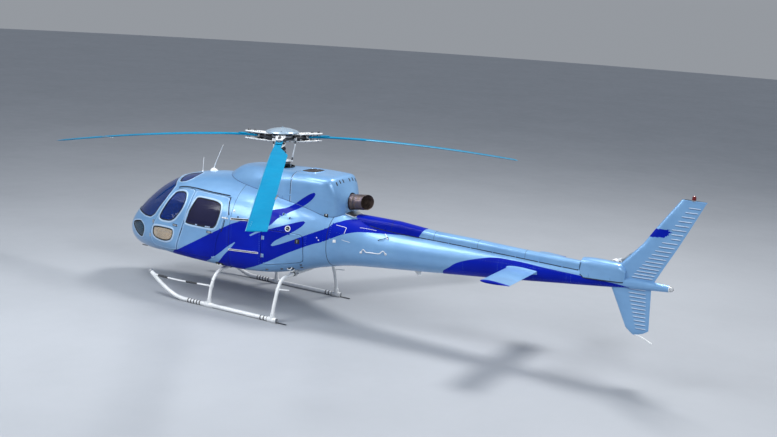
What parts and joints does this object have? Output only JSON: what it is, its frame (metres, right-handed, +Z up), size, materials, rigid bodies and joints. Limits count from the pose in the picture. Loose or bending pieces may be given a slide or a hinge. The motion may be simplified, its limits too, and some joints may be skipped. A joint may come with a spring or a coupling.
{
  "type": "helicopter",
  "caption": "Light turbine helicopter parked on its skids, with turning main and tail rotors, hinged cabin and luggage doors, glazed cabin and seats.",
  "frame": {"origin": "middle of the whole machine's outline, on the ground; the main mast stands 1.13 m ahead of it", "axes": "+Z up, nose towards -Y, tail towards +Y, port side +X"},
  "size_m": [9.4053, 12.9371, 3.259],
  "materials": {
    "paint_silver_blue": "metallic silver blue, gloss",
    "paint_deep_blue": "blue, gloss",
    "paint_white": "off-white, satin",
    "paint_grey": "grey, satin",
    "rotor_metal": "satin, worn",
    "dark_trim": "matt",
    "seat_cloth": "woven",
    "glazing": "clear, gloss",
    "lamp_lens": "clear, ribbed",
    "jet_pipe_steel": "heat stained"
  },
  "bodies": {
    "airframe": {"cabin_shell": "paint_silver_blue", "sliding_door_left": "paint_silver_blue", "sliding_door_right": "paint_silver_blue", "rear_fuselage": "paint_silver_blue", "transmission_cowl": "paint_silver_blue", "engine_cowl": "paint_silver_blue", "tail_boom": "paint_silver_blue", "drive_shaft_cover": "paint_silver_blue", "tail_gearbox_fairing": "paint_silver_blue", "upper_fin": "paint_silver_blue", "lower_fin": "paint_silver_blue", "stabilizer_left": "paint_silver_blue", "stabilizer_right": "paint_silver_blue", "windshield_left": "glazing", "windshield_right": "glazing", "chin_window_left": "glazing", "chin_window_right": "glazing", "roof_window_left": "glazing", "roof_window_right": "glazing", "sliding_door_window_left": "glazing", "sliding_door_window_right": "glazing", "main_gearbox": "paint_grey", "engine_block": "paint_grey", "exhaust_pipe": "jet_pipe_steel", "tail_light": "lamp_lens", "skid_left": "paint_white", "skid_right": "paint_white", "front_cross_tube": "paint_white", "rear_cross_tube": "paint_white", "boarding_step_left": "paint_white", "boarding_step_right": "paint_white", "tail_skid": "dark_trim", "front_seat_base_left": "dark_trim", "front_seat_base_right": "dark_trim", "rear_bench_base": "dark_trim", "instrument_panel": "dark_trim", "front_seat_cushion_left": "seat_cloth", "front_seat_cushion_right": "seat_cloth", "front_seat_back_left": "seat_cloth", "front_seat_back_right": "seat_cloth", "rear_bench_cushion": "seat_cloth", "rear_bench_back": "seat_cloth"},
    "main_rotor": {"main_rotor_hub": "rotor_metal", "hub_cap": "paint_deep_blue", "main_blade_near": "paint_deep_blue", "main_blade_far": "paint_deep_blue", "main_blade_nose": "paint_deep_blue", "swashplate": "paint_white"},
    "tail_rotor": {"tail_rotor_hub": "rotor_metal", "tail_rotor_blades": "paint_deep_blue"},
    "front_door_left_leaf": {"front_door_left": "paint_silver_blue", "front_door_window_left": "glazing", "front_door_lower_window_left": "glazing"},
    "luggage_door_left_leaf": {"cargo_door_left": "paint_silver_blue"},
    "front_door_right_leaf": {"front_door_right": "paint_silver_blue", "front_door_window_right": "glazing", "front_door_lower_window_right": "glazing"},
    "luggage_door_right_leaf": {"cargo_door_right": "paint_silver_blue"}
  },
  "joints": [
    {"name": "main_rotor_spin", "type": "hinge", "parent": "airframe", "child": "main_rotor", "pos_m": [0, -1.13, 3.065], "axis": [0, -0.0192, 0.9998], "continuous": true},
    {"name": "tail_rotor_spin", "type": "hinge", "parent": "airframe", "child": "tail_rotor", "pos_m": [-0.35, 5.095, 1.79], "axis": [1, 0, 0], "continuous": true},
    {"name": "front_door_left_hinge", "type": "hinge", "parent": "airframe", "child": "front_door_left_leaf", "pos_m": [0.805, -3.482, 1.1], "axis": [0, 0, -1], "range_deg": [0, 80]},
    {"name": "luggage_door_left_hinge", "type": "hinge", "parent": "airframe", "child": "luggage_door_left_leaf", "pos_m": [0.928, -0.872, 1.25], "axis": [0, 0, -1], "range_deg": [0, 80]},
    {"name": "front_door_right_hinge", "type": "hinge", "parent": "airframe", "child": "front_door_right_leaf", "pos_m": [-0.805, -3.482, 1.1], "axis": [0, 0, 1], "range_deg": [0, 80]},
    {"name": "luggage_door_right_hinge", "type": "hinge", "parent": "airframe", "child": "luggage_door_right_leaf", "pos_m": [-0.928, -0.872, 1.25], "axis": [0, 0, 1], "range_deg": [0, 80]}
  ]
}
